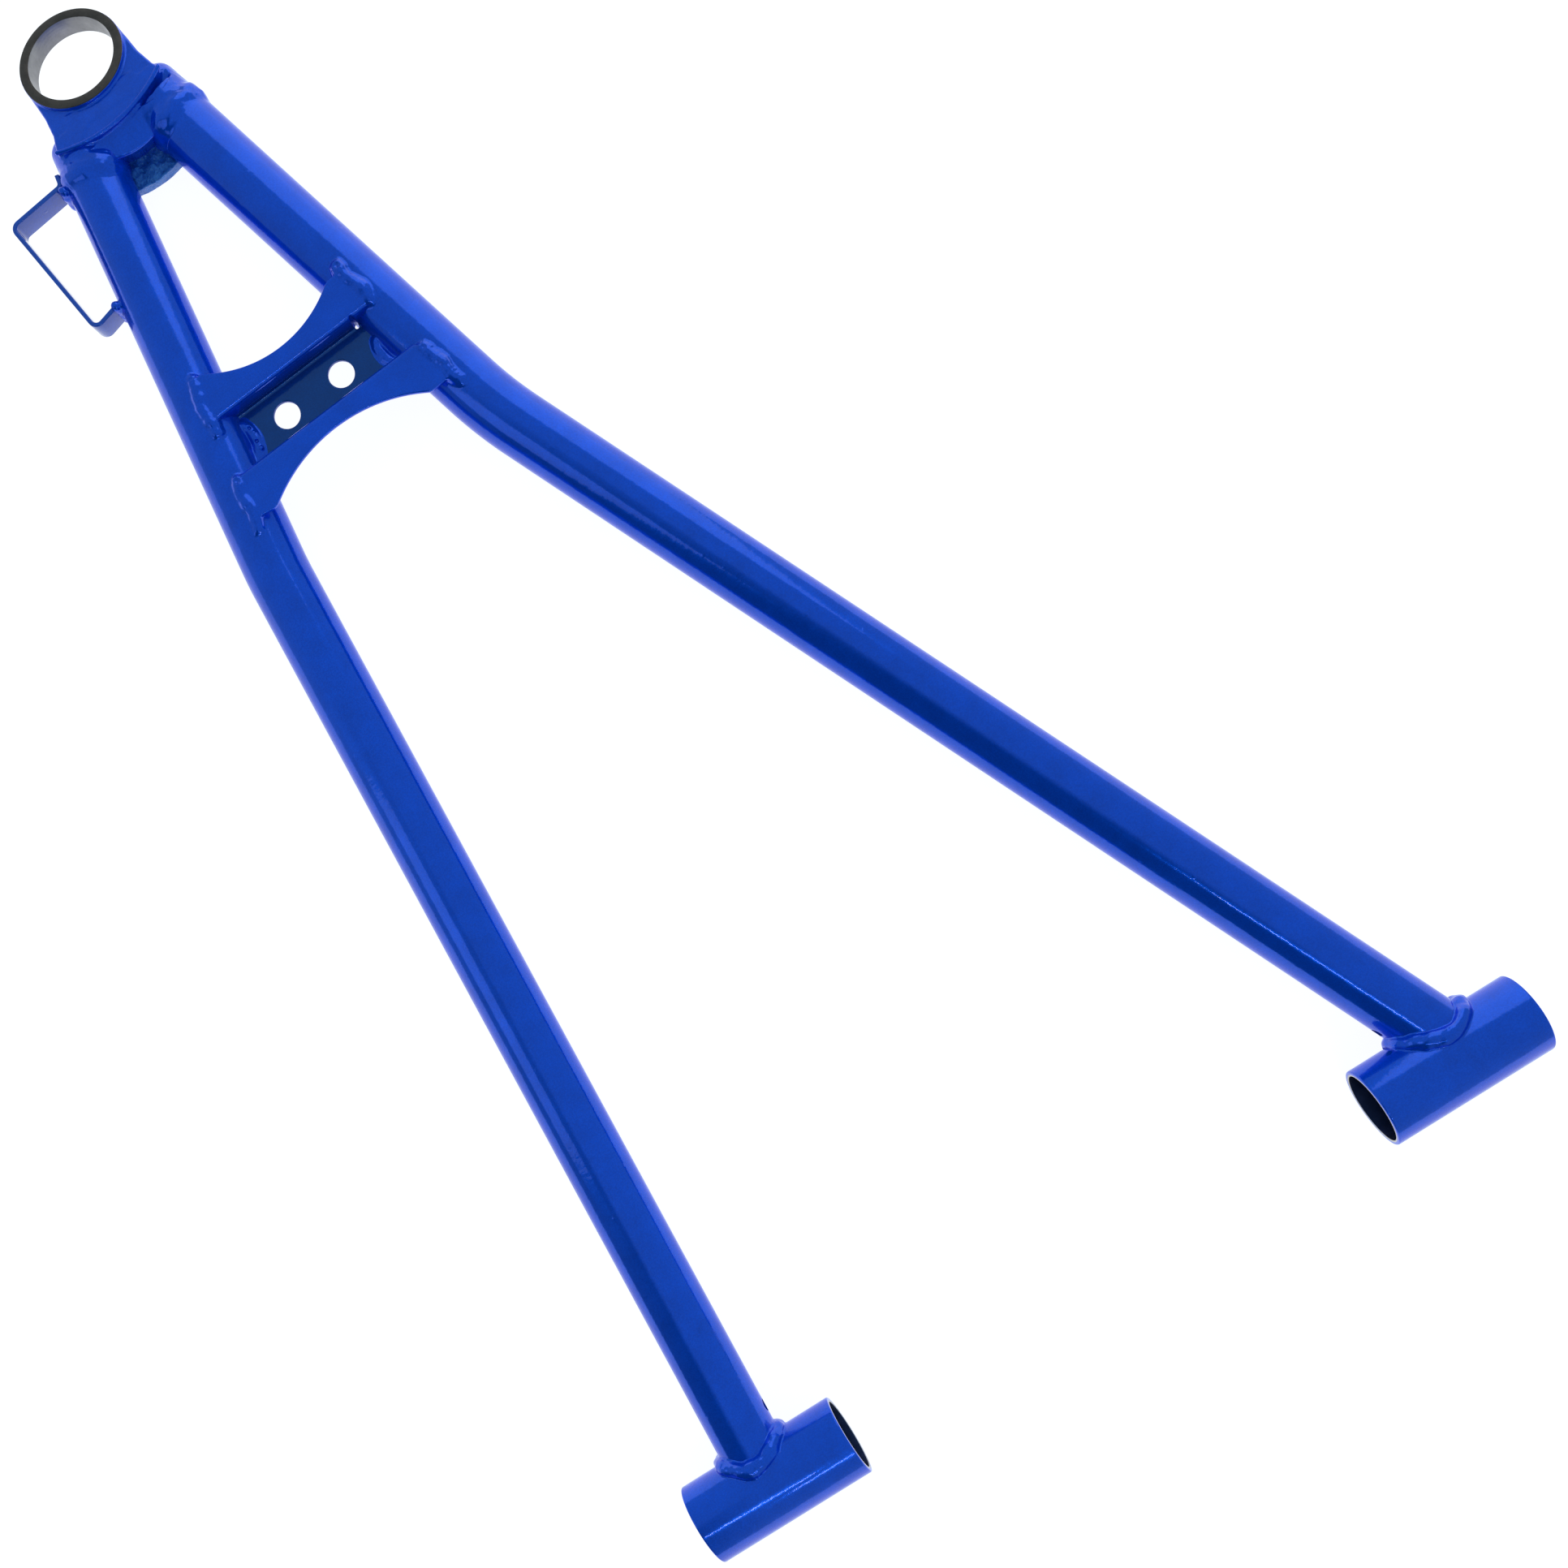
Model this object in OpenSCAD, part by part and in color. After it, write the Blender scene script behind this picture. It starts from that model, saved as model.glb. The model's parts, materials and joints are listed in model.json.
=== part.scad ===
// Tubular suspension control arm: two bent legs, a ball joint housing, a pressed cross
// channel, two pivot sleeves, a hose loop and the weld beads that hold them together.
// +X runs along the pivot axis from the rear sleeve to the front one, +Y outboard to the
// ball joint, +Z up. The origin is the centre of the rear pivot bore. Millimetres.

/* [Pivot sleeves] */
// Distance between the centres of the two sleeves
pivot_span = 336; // [300:1:380]
// Outer diameter of a sleeve
sleeve_od = 36.8; // [34:0.1:40]
// Bore of a sleeve
sleeve_bore = 32; // [28:0.1:33]
// Length of a sleeve
sleeve_len = 75; // [60:1:90]
// Chamfer on the outer rims of a sleeve
sleeve_chamfer = 0.8; // [0.3:0.1:1.5]

/* [Legs] */
// Outer diameter of the leg tube
tube_od = 28.6; // [25:0.1:32]
// Wall thickness of the leg tube
tube_wall = 2.1; // [1.5:0.1:3]
// Distance outboard at which both tubes end on the housing
weld_y = 641; // [630:1:650]
// Where the rear leg's axis meets the pivot axis, along X
rear_foot_x = -3; // [-6:0.1:6]
// Lean of the rear leg below its bend, towards the front, degrees
rear_lower_lean = 4.2; // [2:0.1:6]
// Lean of the rear leg above its bend, degrees
rear_upper_lean = 8; // [6:0.1:10]
// Distance outboard of the rear bend
rear_bend_y = 450; // [430:1:470]
// Where the front leg's axis meets the pivot axis, past the centre of the front sleeve
front_foot_offset = 7.7; // [0:0.1:12]
// Lean of the front leg below its bend, towards the rear, degrees
front_lower_lean = 23.1; // [21:0.1:25]
// Lean of the front leg above its bend, degrees
front_upper_lean = 14.5; // [12:0.1:17]
// Distance outboard of the front bend
front_bend_y = 457; // [440:1:475]
// Diameter of the drain hole near each sleeve
drain_d = 6; // [3:0.5:8]
// Distance outboard of the drain holes
drain_y = 31; // [26:1:40]

/* [Ball joint housing] */
// Bore for the pressed-in ball joint
joint_bore = 40.3; // [38:0.1:42]
// Outer diameter of the ring
ring_od = 49; // [46:0.5:54]
// Height of the ring
ring_height = 10; // [9:0.5:12]
// Chamfer at the two mouths of the bore
ring_chamfer = 1.3; // [0.5:0.1:2]
// Outboard lean of the ring's axis, degrees
ring_lean = 13; // [0:0.5:20]
// Centre of the ring's top face
ring_x = 76; // [70:0.5:82]
// Distance outboard of the ring
ring_y = 686; // [680:0.5:692]
// Height of the centre of the ring's top face
ring_z = 8; // [6:0.5:10]
// Step from the ring's top face down to the top of the neck
neck_step = 1.2; // [0.5:0.1:3]

/* [Cross channel] */
// Centre of the channel's web along X
channel_x = 85.9; // [80:0.1:90]
// Distance outboard of the centre of the channel
channel_y = 504.6; // [495:0.1:515]
// Turn of the channel, square to the bisector of the legs, degrees
channel_turn = 2.8; // [0:0.1:5]
// Sheet thickness
sheet = 2.3; // [1.8:0.1:3]
// Height of the top of the flanges
flange_top = 15.3; // [15:0.1:17]
// Drop from the top of the flanges to the top of the web
channel_depth = 10.8; // [8:0.1:14]
// Width between the two side walls
trough_width = 24.6; // [20:0.1:28]
// Outer radius of the bend between a flange and a wall
flange_bend = 3; // [2.6:0.1:4]
// Diameter of the two web holes
web_hole_d = 12; // [10:0.1:13]
// Spacing of the two web holes
web_hole_pitch = 29.5; // [27:0.1:32]

/* [Hose loop] */
// Width of the strap
strap_width = 12.5; // [10:0.5:16]
// Thickness of the strap
strap_thickness = 2; // [1.5:0.1:2.5]
// Inner radius of the loop's corners
strap_bend = 2.5; // [2:0.1:4]

/* [Welds] */
// Height of the bead round a sleeve joint, up the leg
saddle_height = 5; // [3:0.1:7]
// Spread of the bead round a sleeve joint, along the sleeve
saddle_spread = 3.2; // [2:0.1:3.5]
// Radius of the bead round a leg where it meets the housing
ring_bead_r = 2.6; // [2:0.1:3]
// Radius of the flange beads
flange_bead_r = 3; // [2:0.1:4]
// Radius of the beads at the ends of the channel web
web_bead_r = 3; // [2:0.1:4]

/* [Hidden] */
$fn = 96;

eps = 0.01;
far = 150;
arc_steps = 8;
function arc(centre, r, a0, a1) =
    [for (i = [0:arc_steps]) centre + r * [cos(a0 + (a1 - a0) * i / arc_steps),
        sin(a0 + (a1 - a0) * i / arc_steps)]];
paint = "royalblue";

tube_r = tube_od / 2;
bore_r = tube_r - tube_wall;
sleeve_r = sleeve_od / 2;
joint_r = joint_bore / 2;
ring_r = ring_od / 2;

// A leg is [foot on the pivot axis, lean below the bend, bend, lean above it, top].
// A lean is the turn from +Y towards +X.
function along(from, lean, y) = [from[0] + (y - from[1]) * tan(lean), y];
rear_foot = [rear_foot_x, 0];
rear_bend = along(rear_foot, rear_lower_lean, rear_bend_y);
rear_leg = [rear_foot, rear_lower_lean, rear_bend, rear_upper_lean,
    along(rear_bend, rear_upper_lean, weld_y)];
front_foot = [pivot_span + front_foot_offset, 0];
front_bend = along(front_foot, -front_lower_lean, front_bend_y);
front_leg = [front_foot, -front_lower_lean, front_bend, -front_upper_lean,
    along(front_bend, -front_upper_lean, weld_y)];

// Neck outline in the ring's own frame, seen along its axis.
neck_half = ring_r + 0.6;
neck_straight = -16;
neck_flare = 5;
lip_centre = [-4, 17];
lip_r = 58;

// Stubs of the housing that the legs butt against, and the saddle between them.
stub_len = 20;
stub_r = tube_r - 0.3;
saddle_top = 9;
saddle_bottom = -10;
saddle_inboard = 634.5;
saddle_outboard = 662;

// Crotch gusset between the legs.
gusset_top = -3;
gusset_thickness = 7;
gusset_inboard = 621.5;
gusset_arc_r = 22;

// Cross channel, in its own frame with X along the trough.
wall_x = trough_width / 2;
hat_half = 45;
web_top = flange_top - channel_depth;
corner_r = 1.2;
flange_reach_out = 31.7;
flange_reach_in = 34.2;
scallop_out = [76.3, 55.6];
scallop_in = [-95.5, 74];
flange_end_gap = 3.8;
corner_hole = [31.3, 13.7];
corner_hole_r = 1;

// Loop route, outer face of the strap, from the outboard foot to the inboard one.
loop_path = [[47, 640.5], [13, 641.5], [20.3, 581.5], [40, 581.5]];

module at_leg_top(leg) {
    translate([leg[4][0], leg[4][1], 0])
        rotate([0, 0, -leg[3]])
            children();
}

// A round bar along +Y, from y0 to y1.
module bar(r, y0, y1) {
    translate([0, y0, 0])
        rotate([-90, 0, 0])
            cylinder(h = y1 - y0, r = r);
}

// The run of a leg below its bend, mitred there; spare lengthens it at the foot.
module lower_run(leg, r, spare = 0) {
    intersection() {
        translate([leg[2][0], leg[2][1], 0])
            rotate([0, 0, -leg[1]])
                bar(r, -norm(leg[2] - leg[0]) - spare, r);
        mitre_side(leg, -far * 4);
    }
}

// The run of a leg above its bend, mitred there; spare lengthens it at the top.
module upper_run(leg, r, spare = 0) {
    intersection() {
        translate([leg[2][0], leg[2][1], 0])
            rotate([0, 0, -leg[3]])
                bar(r, -r, norm(leg[4] - leg[2]) + spare);
        mitre_side(leg, 0);
    }
}

// Half space on one side of the plane that splits a leg's bend.
module mitre_side(leg, start) {
    translate([leg[2][0], leg[2][1], 0])
        rotate([0, 0, -(leg[1] + leg[3]) / 2])
            translate([-far, start, -far])
                cube([far * 2, far * 4, far * 2]);
}

module leg_bar(leg, r, spare = 0) {
    lower_run(leg, r, spare);
    upper_run(leg, r, spare);
}

// Both legs above their bends, as a cutter for what is welded to them there.
module upper_legs() {
    upper_run(front_leg, tube_r, 20);
    upper_run(rear_leg, tube_r, 20);
}

module sleeve_bar(x, r, length) {
    translate([x - length / 2, 0, 0])
        rotate([0, 90, 0])
            cylinder(h = length, r = r);
}

module leg_tube(leg, sleeve_x, drain_side) {
    drain_x = along(leg[0], leg[1], drain_y)[0];
    difference() {
        leg_bar(leg, tube_r);
        leg_bar(leg, bore_r, 1);
        sleeve_bar(sleeve_x, sleeve_r, sleeve_len + far);
        translate([drain_x, drain_y, 0])
            rotate([0, 90 * drain_side, -leg[1]])
                cylinder(h = tube_od, d = drain_d);
    }
}

module front_leg_tube() {
    color(paint)
        leg_tube(front_leg, pivot_span, -1);
}

module rear_leg_tube() {
    color(paint)
        leg_tube(rear_leg, 0, 1);
}

module pivot_sleeve(x) {
    translate([x, 0, 0])
        rotate([0, 90, 0])
            rotate_extrude()
                polygon([
                    [sleeve_bore / 2, -sleeve_len / 2],
                    [sleeve_r - sleeve_chamfer, -sleeve_len / 2],
                    [sleeve_r, -sleeve_len / 2 + sleeve_chamfer],
                    [sleeve_r, sleeve_len / 2 - sleeve_chamfer],
                    [sleeve_r - sleeve_chamfer, sleeve_len / 2],
                    [sleeve_bore / 2, sleeve_len / 2]
                ]);
}

module front_pivot_sleeve() {
    color(paint)
        pivot_sleeve(pivot_span);
}

module rear_pivot_sleeve() {
    color(paint)
        pivot_sleeve(0);
}

module in_ring_frame() {
    translate([ring_x, ring_y, ring_z])
        rotate([-ring_lean, 0, 0])
            children();
}

// Plan of the neck: the ring's circle, straight cheeks, a flare and the curved lip.
module neck_plan() {
    reach = lip_r - lip_centre[1];
    intersection() {
        union() {
            circle(r = neck_half);
            polygon([
                [-neck_half, 0], [neck_half, 0], [neck_half, neck_straight],
                [neck_half + neck_flare, -reach * 0.7], [neck_half + neck_flare, -reach],
                [-neck_half - neck_flare, -reach], [-neck_half - neck_flare / 2, -reach * 0.8],
                [-neck_half, neck_straight]
            ]);
        }
        translate(lip_centre)
            circle(r = lip_r);
    }
}

module stub(leg) {
    at_leg_top(leg)
        bar(stub_r, 0, stub_len);
}

// The block between the stubs, cut off inboard by a shallow curve.
module saddle() {
    left = along(rear_leg[4], rear_leg[3], saddle_inboard);
    right = along(front_leg[4], front_leg[3], saddle_inboard);
    left_out = along(rear_leg[4], rear_leg[3], saddle_outboard);
    right_out = along(front_leg[4], front_leg[3], saddle_outboard);
    difference() {
        translate([0, 0, saddle_bottom])
            linear_extrude(saddle_top - saddle_bottom)
                polygon([left, right, right_out, left_out]);
        upper_run(front_leg, tube_r);
        upper_run(rear_leg, tube_r);
    }
}

module ball_joint_housing() {
    color(paint)
        difference() {
            union() {
                in_ring_frame()
                    translate([0, 0, -ring_height])
                        cylinder(h = ring_height, r = ring_r);
                in_ring_frame()
                    translate([0, 0, -ring_height])
                        linear_extrude(ring_height - neck_step)
                            neck_plan();
                stub(front_leg);
                stub(rear_leg);
                saddle();
            }
            in_ring_frame()
                translate([0, 0, -far / 2])
                    cylinder(h = far, r = joint_r);
            in_ring_frame()
                rotate_extrude()
                    polygon([
                        [0, eps], [joint_r + ring_chamfer + eps, eps],
                        [joint_r, -ring_chamfer], [0, -ring_chamfer]
                    ]);
            in_ring_frame()
                translate([0, 0, -ring_height])
                    rotate_extrude()
                        polygon([
                            [0, -eps], [joint_r + ring_chamfer + eps, -eps],
                            [joint_r, ring_chamfer], [0, ring_chamfer]
                        ]);
        }
}

module crotch_gusset() {
    left = along(rear_leg[4], rear_leg[3], gusset_inboard);
    right = along(front_leg[4], front_leg[3], gusset_inboard);
    left_out = along(rear_leg[4], rear_leg[3], saddle_inboard);
    right_out = along(front_leg[4], front_leg[3], saddle_inboard);
    middle = (left + right) / 2;
    color(paint)
        difference() {
            translate([0, 0, gusset_top - gusset_thickness])
                linear_extrude(gusset_thickness)
                    intersection() {
                        polygon([left, right, right_out, left_out]);
                        translate([middle[0], gusset_inboard + gusset_arc_r])
                            circle(r = gusset_arc_r);
                    }
            upper_legs();
        }
}

module in_channel_frame() {
    translate([channel_x, channel_y, 0])
        rotate([0, 0, channel_turn])
            children();
}

// Area between the legs' top lines, less the gap left for the flange beads.
module between_legs() {
    out = channel_y + 60;
    in = channel_y - 60;
    rear_gap = [flange_end_gap / cos(rear_upper_lean), 0];
    front_gap = [flange_end_gap / cos(front_upper_lean), 0];
    polygon([
        along(rear_bend, rear_upper_lean, in) + rear_gap,
        along(front_bend, -front_upper_lean, in) - front_gap,
        along(front_bend, -front_upper_lean, out) - front_gap,
        along(rear_bend, rear_upper_lean, out) + rear_gap
    ]);
}

// One side of the hat section: the top surface and the underside, from the web's middle
// to past the flange's edge. The gap below the top surface is the sheet's thickness.
function hat_side(drop) = concat(
    [[0, web_top - drop]],
    arc([wall_x - corner_r, web_top + corner_r], corner_r + drop, -90, 0),
    arc([wall_x + flange_bend, flange_top - flange_bend], flange_bend - drop, 180, 90),
    [[hat_half, flange_top - drop]]
);
function mirrored(points) = [for (i = [len(points) - 1:-1:0]) [-points[i][0], points[i][1]]];
function backwards(points) = [for (i = [len(points) - 1:-1:0]) points[i]];

module hat_bar() {
    top = concat(mirrored(hat_side(0)), hat_side(0));
    under = concat(mirrored(hat_side(sheet)), hat_side(sheet));
    in_channel_frame()
        translate([-far / 2, 0, 0])
            rotate([90, 0, 90])
                linear_extrude(far)
                    polygon(concat(top, backwards(under)));
}

module channel_plan() {
    intersection() {
        between_legs();
        in_channel_frame()
            difference() {
                translate([-far / 2, -flange_reach_in])
                    square([far, flange_reach_in + flange_reach_out]);
                translate([0, scallop_out[0]])
                    circle(r = scallop_out[1]);
                translate([0, scallop_in[0]])
                    circle(r = scallop_in[1]);
            }
    }
}

module cross_channel() {
    color(paint)
        difference() {
            intersection() {
                hat_bar();
                translate([0, 0, -far / 2])
                    linear_extrude(far)
                        channel_plan();
            }
            upper_legs();
            in_channel_frame() {
                for (side = [-1, 1])
                    translate([side * web_hole_pitch / 2, 0, web_top - sheet - 1])
                        cylinder(h = sheet + 2, d = web_hole_d);
                translate([corner_hole[0], corner_hole[1], -far / 2])
                    cylinder(h = far, r = corner_hole_r);
            }
        }
}

// Strap loop: one run per side of the route, with a quarter-round corner at each turn.
module loop_plan(inset) {
    outer = loop_path;
    offset(r = strap_bend + strap_thickness - inset)
        offset(delta = -strap_bend - strap_thickness)
            polygon([outer[0], outer[1], outer[2], outer[3]]);
}

module hose_loop() {
    color(paint)
        difference() {
            translate([0, 0, -strap_width / 2])
                linear_extrude(strap_width)
                    difference() {
                        loop_plan(0);
                        loop_plan(strap_thickness);
                    }
            upper_run(rear_leg, tube_r);
        }
}

module housing_bead(leg) {
    at_leg_top(leg)
        rotate([-90, 0, 0])
            rotate_extrude()
                intersection() {
                    translate([tube_r, 0])
                        circle(r = ring_bead_r);
                    translate([tube_r, -far / 2])
                        square([far, far]);
                }
}

module weld_front_leg_to_housing() {
    color(paint)
        difference() {
            housing_bead(front_leg);
            ball_joint_housing();
            crotch_gusset();
        }
}

module weld_rear_leg_to_housing() {
    color(paint)
        difference() {
            housing_bead(rear_leg);
            ball_joint_housing();
            crotch_gusset();
            hose_loop();
        }
}

module sleeve_bead(leg, sleeve_x) {
    difference() {
        intersection() {
            lower_run(leg, tube_r + saddle_spread);
            sleeve_bar(sleeve_x, sleeve_r + saddle_height, sleeve_len);
        }
        lower_run(leg, tube_r, 10);
        sleeve_bar(sleeve_x, sleeve_r, sleeve_len + far);
    }
}

module weld_front_leg_to_sleeve() {
    color(paint)
        sleeve_bead(front_leg, pivot_span);
}

module weld_rear_leg_to_sleeve() {
    color(paint)
        sleeve_bead(rear_leg, 0);
}

// A bead along the top of a leg, between two distances outboard, beside the flange end.
module flange_bead(start, lean, y0, y1) {
    from = along(start, lean, y0);
    difference() {
        translate([from[0], from[1], tube_r - 0.4])
            rotate([0, 0, -lean]) {
                bar(flange_bead_r, 0, y1 - y0);
                sphere(r = flange_bead_r);
                translate([0, y1 - y0, 0])
                    sphere(r = flange_bead_r);
            }
        upper_legs();
        cross_channel();
    }
}

module weld_outboard_flange_front() {
    color(paint)
        flange_bead(front_bend, -front_upper_lean, 524, 538);
}

module weld_outboard_flange_rear() {
    color(paint)
        flange_bead(rear_bend, rear_upper_lean, 516, 533);
}

module weld_inboard_flange_front() {
    color(paint)
        flange_bead(front_bend, -front_upper_lean, 473, 489);
}

module weld_inboard_flange_rear() {
    color(paint)
        flange_bead(rear_bend, rear_upper_lean, 470, 486);
}

// A bead across the end of the web, in the corner between its top and the side of a leg.
module web_bead(start, lean, side) {
    half = wall_x - corner_r - web_bead_r;
    middle = along(start, lean, channel_y);
    offset_x = sqrt(tube_r * tube_r - web_top * web_top);
    difference() {
        translate([middle[0] - side * offset_x, channel_y, web_top])
            rotate([0, 0, -lean])
                bar(web_bead_r, -half, half);
        upper_legs();
        translate([channel_x - far / 2, channel_y - far / 2, web_top - far])
            cube([far, far, far]);
    }
}

module weld_web_end_front() {
    color(paint)
        web_bead(front_bend, -front_upper_lean, 1);
}

module weld_web_end_rear() {
    color(paint)
        web_bead(rear_bend, rear_upper_lean, -1);
}

// A short bead down the outer side of the rear leg beside one foot of the loop.
module loop_bead(y) {
    foot = along(rear_bend, rear_upper_lean, y);
    difference() {
        translate([foot[0] - tube_r, foot[1], -strap_width / 2])
            cylinder(h = strap_width, r = 2.2);
        upper_run(rear_leg, tube_r);
        hose_loop();
    }
}

module weld_loop_outboard() {
    color(paint)
        loop_bead(loop_path[0][1] - strap_thickness - 2);
}

module weld_loop_inboard() {
    color(paint)
        loop_bead(loop_path[3][1] - 2);
}

ball_joint_housing();
crotch_gusset();
front_leg_tube();
rear_leg_tube();
front_pivot_sleeve();
rear_pivot_sleeve();
cross_channel();
hose_loop();
weld_front_leg_to_housing();
weld_rear_leg_to_housing();
weld_front_leg_to_sleeve();
weld_rear_leg_to_sleeve();
weld_outboard_flange_front();
weld_outboard_flange_rear();
weld_inboard_flange_front();
weld_inboard_flange_rear();
weld_web_end_front();
weld_web_end_rear();
weld_loop_outboard();
weld_loop_inboard();
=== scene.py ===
"""Painted tubular suspension arm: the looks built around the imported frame. Lengths are in mm."""
import json
import math

import bmesh
import bpy
import numpy as np
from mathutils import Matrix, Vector


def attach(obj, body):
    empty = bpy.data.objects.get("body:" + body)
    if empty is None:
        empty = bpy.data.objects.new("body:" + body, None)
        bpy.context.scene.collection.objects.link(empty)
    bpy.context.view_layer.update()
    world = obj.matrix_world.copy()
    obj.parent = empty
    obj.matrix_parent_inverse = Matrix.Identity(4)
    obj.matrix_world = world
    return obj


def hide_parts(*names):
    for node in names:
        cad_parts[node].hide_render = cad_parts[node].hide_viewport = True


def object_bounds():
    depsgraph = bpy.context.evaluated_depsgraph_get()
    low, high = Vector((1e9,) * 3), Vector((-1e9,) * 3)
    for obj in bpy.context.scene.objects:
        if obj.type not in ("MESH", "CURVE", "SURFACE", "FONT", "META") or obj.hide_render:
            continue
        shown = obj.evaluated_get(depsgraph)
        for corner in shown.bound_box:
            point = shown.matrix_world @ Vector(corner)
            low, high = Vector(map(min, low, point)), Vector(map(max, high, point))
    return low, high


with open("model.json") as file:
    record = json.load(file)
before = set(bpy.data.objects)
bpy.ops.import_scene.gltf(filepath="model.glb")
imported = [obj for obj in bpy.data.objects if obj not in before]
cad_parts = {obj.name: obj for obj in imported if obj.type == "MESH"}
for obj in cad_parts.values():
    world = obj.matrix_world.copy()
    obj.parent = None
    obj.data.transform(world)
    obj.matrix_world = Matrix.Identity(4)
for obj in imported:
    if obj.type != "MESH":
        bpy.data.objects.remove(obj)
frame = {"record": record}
cad_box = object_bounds()
COARSE = 1.0

# ---------------------------------------------------------------- design sizes
MOUNT = {m["name"]: m for m in frame["record"]["mounts"]}
SPAN = MOUNT["front_pivot_bore"]["pos_m"][0] * 1000
SLEEVE_R = 18.4
SLEEVE_BORE = MOUNT["rear_pivot_bore"]["dims"]["r_mm"]
SLEEVE_LEN = MOUNT["rear_pivot_bore"]["dims"]["length_mm"]
TUBE_R = 14.3
TUBE_BORE = 12.2
RING_AXIS = np.array(MOUNT["ball_joint_bore"]["axis"], float)
RING_HEIGHT = 10.0
RING_TOP = np.array(MOUNT["ball_joint_bore"]["pos_m"]) * 1000 + RING_AXIS * RING_HEIGHT / 2
RING_R = 24.5
JOINT_R = MOUNT["ball_joint_bore"]["dims"]["r_mm"]
SHEET = 2.3
WEB_TOP = 4.5
FLANGE_TOP = 15.3
WALL = 12.3  # half of the trough's inner width
CHANNEL = np.array([85.9, 504.6, 0.0])
CHANNEL_TURN = math.radians(2.8)
TOP_Y = 641.0  # where the legs butt against the housing's stubs
RX = np.array([1.0, 0.0, 0.0])
UP = np.array([0.0, 0.0, 1.0])


def unit(v):
    v = np.array(v, float)
    return v / np.linalg.norm(v)


def lean(degrees):
    """Direction in the plane of the legs, turned from +Y towards +X."""
    a = math.radians(degrees)
    return np.array([math.sin(a), math.cos(a), 0.0])


def square_to(d):
    """Direction in the plane of the legs, a quarter turn from d towards +X."""
    return np.array([d[1], -d[0], 0.0])


class Leg:
    """A tube with two straight runs: lower, from its pivot sleeve, and upper, to the housing."""

    def __init__(self, foot_x, lower, bend_y, upper):
        self.foot = np.array([foot_x, 0.0, 0.0])
        self.lo, self.up = lean(lower), lean(upper)
        self.bend = self.foot + self.lo * bend_y / self.lo[1]
        self.top = self.bend + self.up * (TOP_Y - bend_y) / self.up[1]

    def lower(self, p):
        return axis_distance(p, self.foot, self.lo) - TUBE_R

    def upper(self, p):
        return axis_distance(p, self.bend, self.up) - TUBE_R

    def at(self, y, side=0.0, z=0.0):
        """A point beside the upper run, at a distance outboard; side is measured square to the axis."""
        c = self.bend + self.up * (y - self.bend[1]) / self.up[1]
        return c + side * square_to(self.up) + z * UP


# ---------------------------------------------------------------- distance fields
def axis_distance(p, a, d):
    q = p - a
    along = q @ d
    return np.sqrt(np.maximum((q * q).sum(-1) - along * along, 0))


def smin(a, b, k):
    h = np.clip(0.5 + 0.5 * (b - a) / k, 0, 1)
    return b + (a - b) * h - k * h * (1 - h)


def smax(a, b, k):
    return -smin(-a, -b, k)


def ball(p, c, r):
    return np.linalg.norm(p - np.array(c, float), axis=-1) - r


def path_distance(p, points, radius):
    """Distance to a rope along the points; radius is a function of the length along it."""
    best, where, start = None, None, 0.0
    for a, b in zip(points[:-1], points[1:]):
        a, b = np.array(a, float), np.array(b, float)
        span = np.linalg.norm(b - a)
        t = np.clip((p - a) @ (b - a) / span ** 2, 0, 1)
        d = np.linalg.norm(p - a - t[..., None] * (b - a), axis=-1)
        s = start + t * span
        if best is None:
            best, where = d, s
        else:
            nearer = d < best
            best, where = np.where(nearer, d, best), np.where(nearer, s, where)
        start += span
    return best - radius(where)


def polygon_distance(x, y, points):
    pts = np.array(points, float)
    d = np.full(x.shape, 1e9)
    sign = np.ones(x.shape)
    for (ax, ay), (bx, by) in zip(pts, np.roll(pts, -1, axis=0)):
        ex, ey = bx - ax, by - ay
        wx, wy = x - ax, y - ay
        t = np.clip((wx * ex + wy * ey) / (ex * ex + ey * ey), 0, 1)
        d = np.minimum(d, (wx - ex * t) ** 2 + (wy - ey * t) ** 2)
        c1, c2, c3 = y >= ay, y < by, ex * wy > ey * wx
        flip = (c1 & c2 & c3) | (~c1 & ~c2 & ~c3)
        sign = np.where(flip, -sign, sign)
    return sign * np.sqrt(d)


def ripple(p, size, seed, terms=7):
    """A smooth repeatable unevenness between about -1 and 1, with features of that size."""
    rng = np.random.RandomState(seed)
    total = np.zeros(p.shape[:-1])
    for _ in range(terms):
        k = unit(rng.normal(size=3)) * 2 * math.pi / size * rng.uniform(0.6, 1.5)
        total += np.sin(p @ k + rng.uniform(0, 2 * math.pi))
    return total / math.sqrt(terms) / 1.3


# ---------------------------------------------------------------- meshes
def new_object(name, verts, faces):
    me = bpy.data.meshes.new(name)
    me.from_pydata((np.asarray(verts) * 0.001).tolist(), [], [list(map(int, f)) for f in faces])
    me.validate()
    bm = bmesh.new()
    bm.from_mesh(me)
    bmesh.ops.recalc_face_normals(bm, faces=bm.faces)
    bm.to_mesh(me)
    bm.free()
    me.update()
    me.polygons.foreach_set("use_smooth", [True] * len(me.polygons))
    ob = bpy.data.objects.new(name, me)
    bpy.context.scene.collection.objects.link(ob)
    return ob


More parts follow.
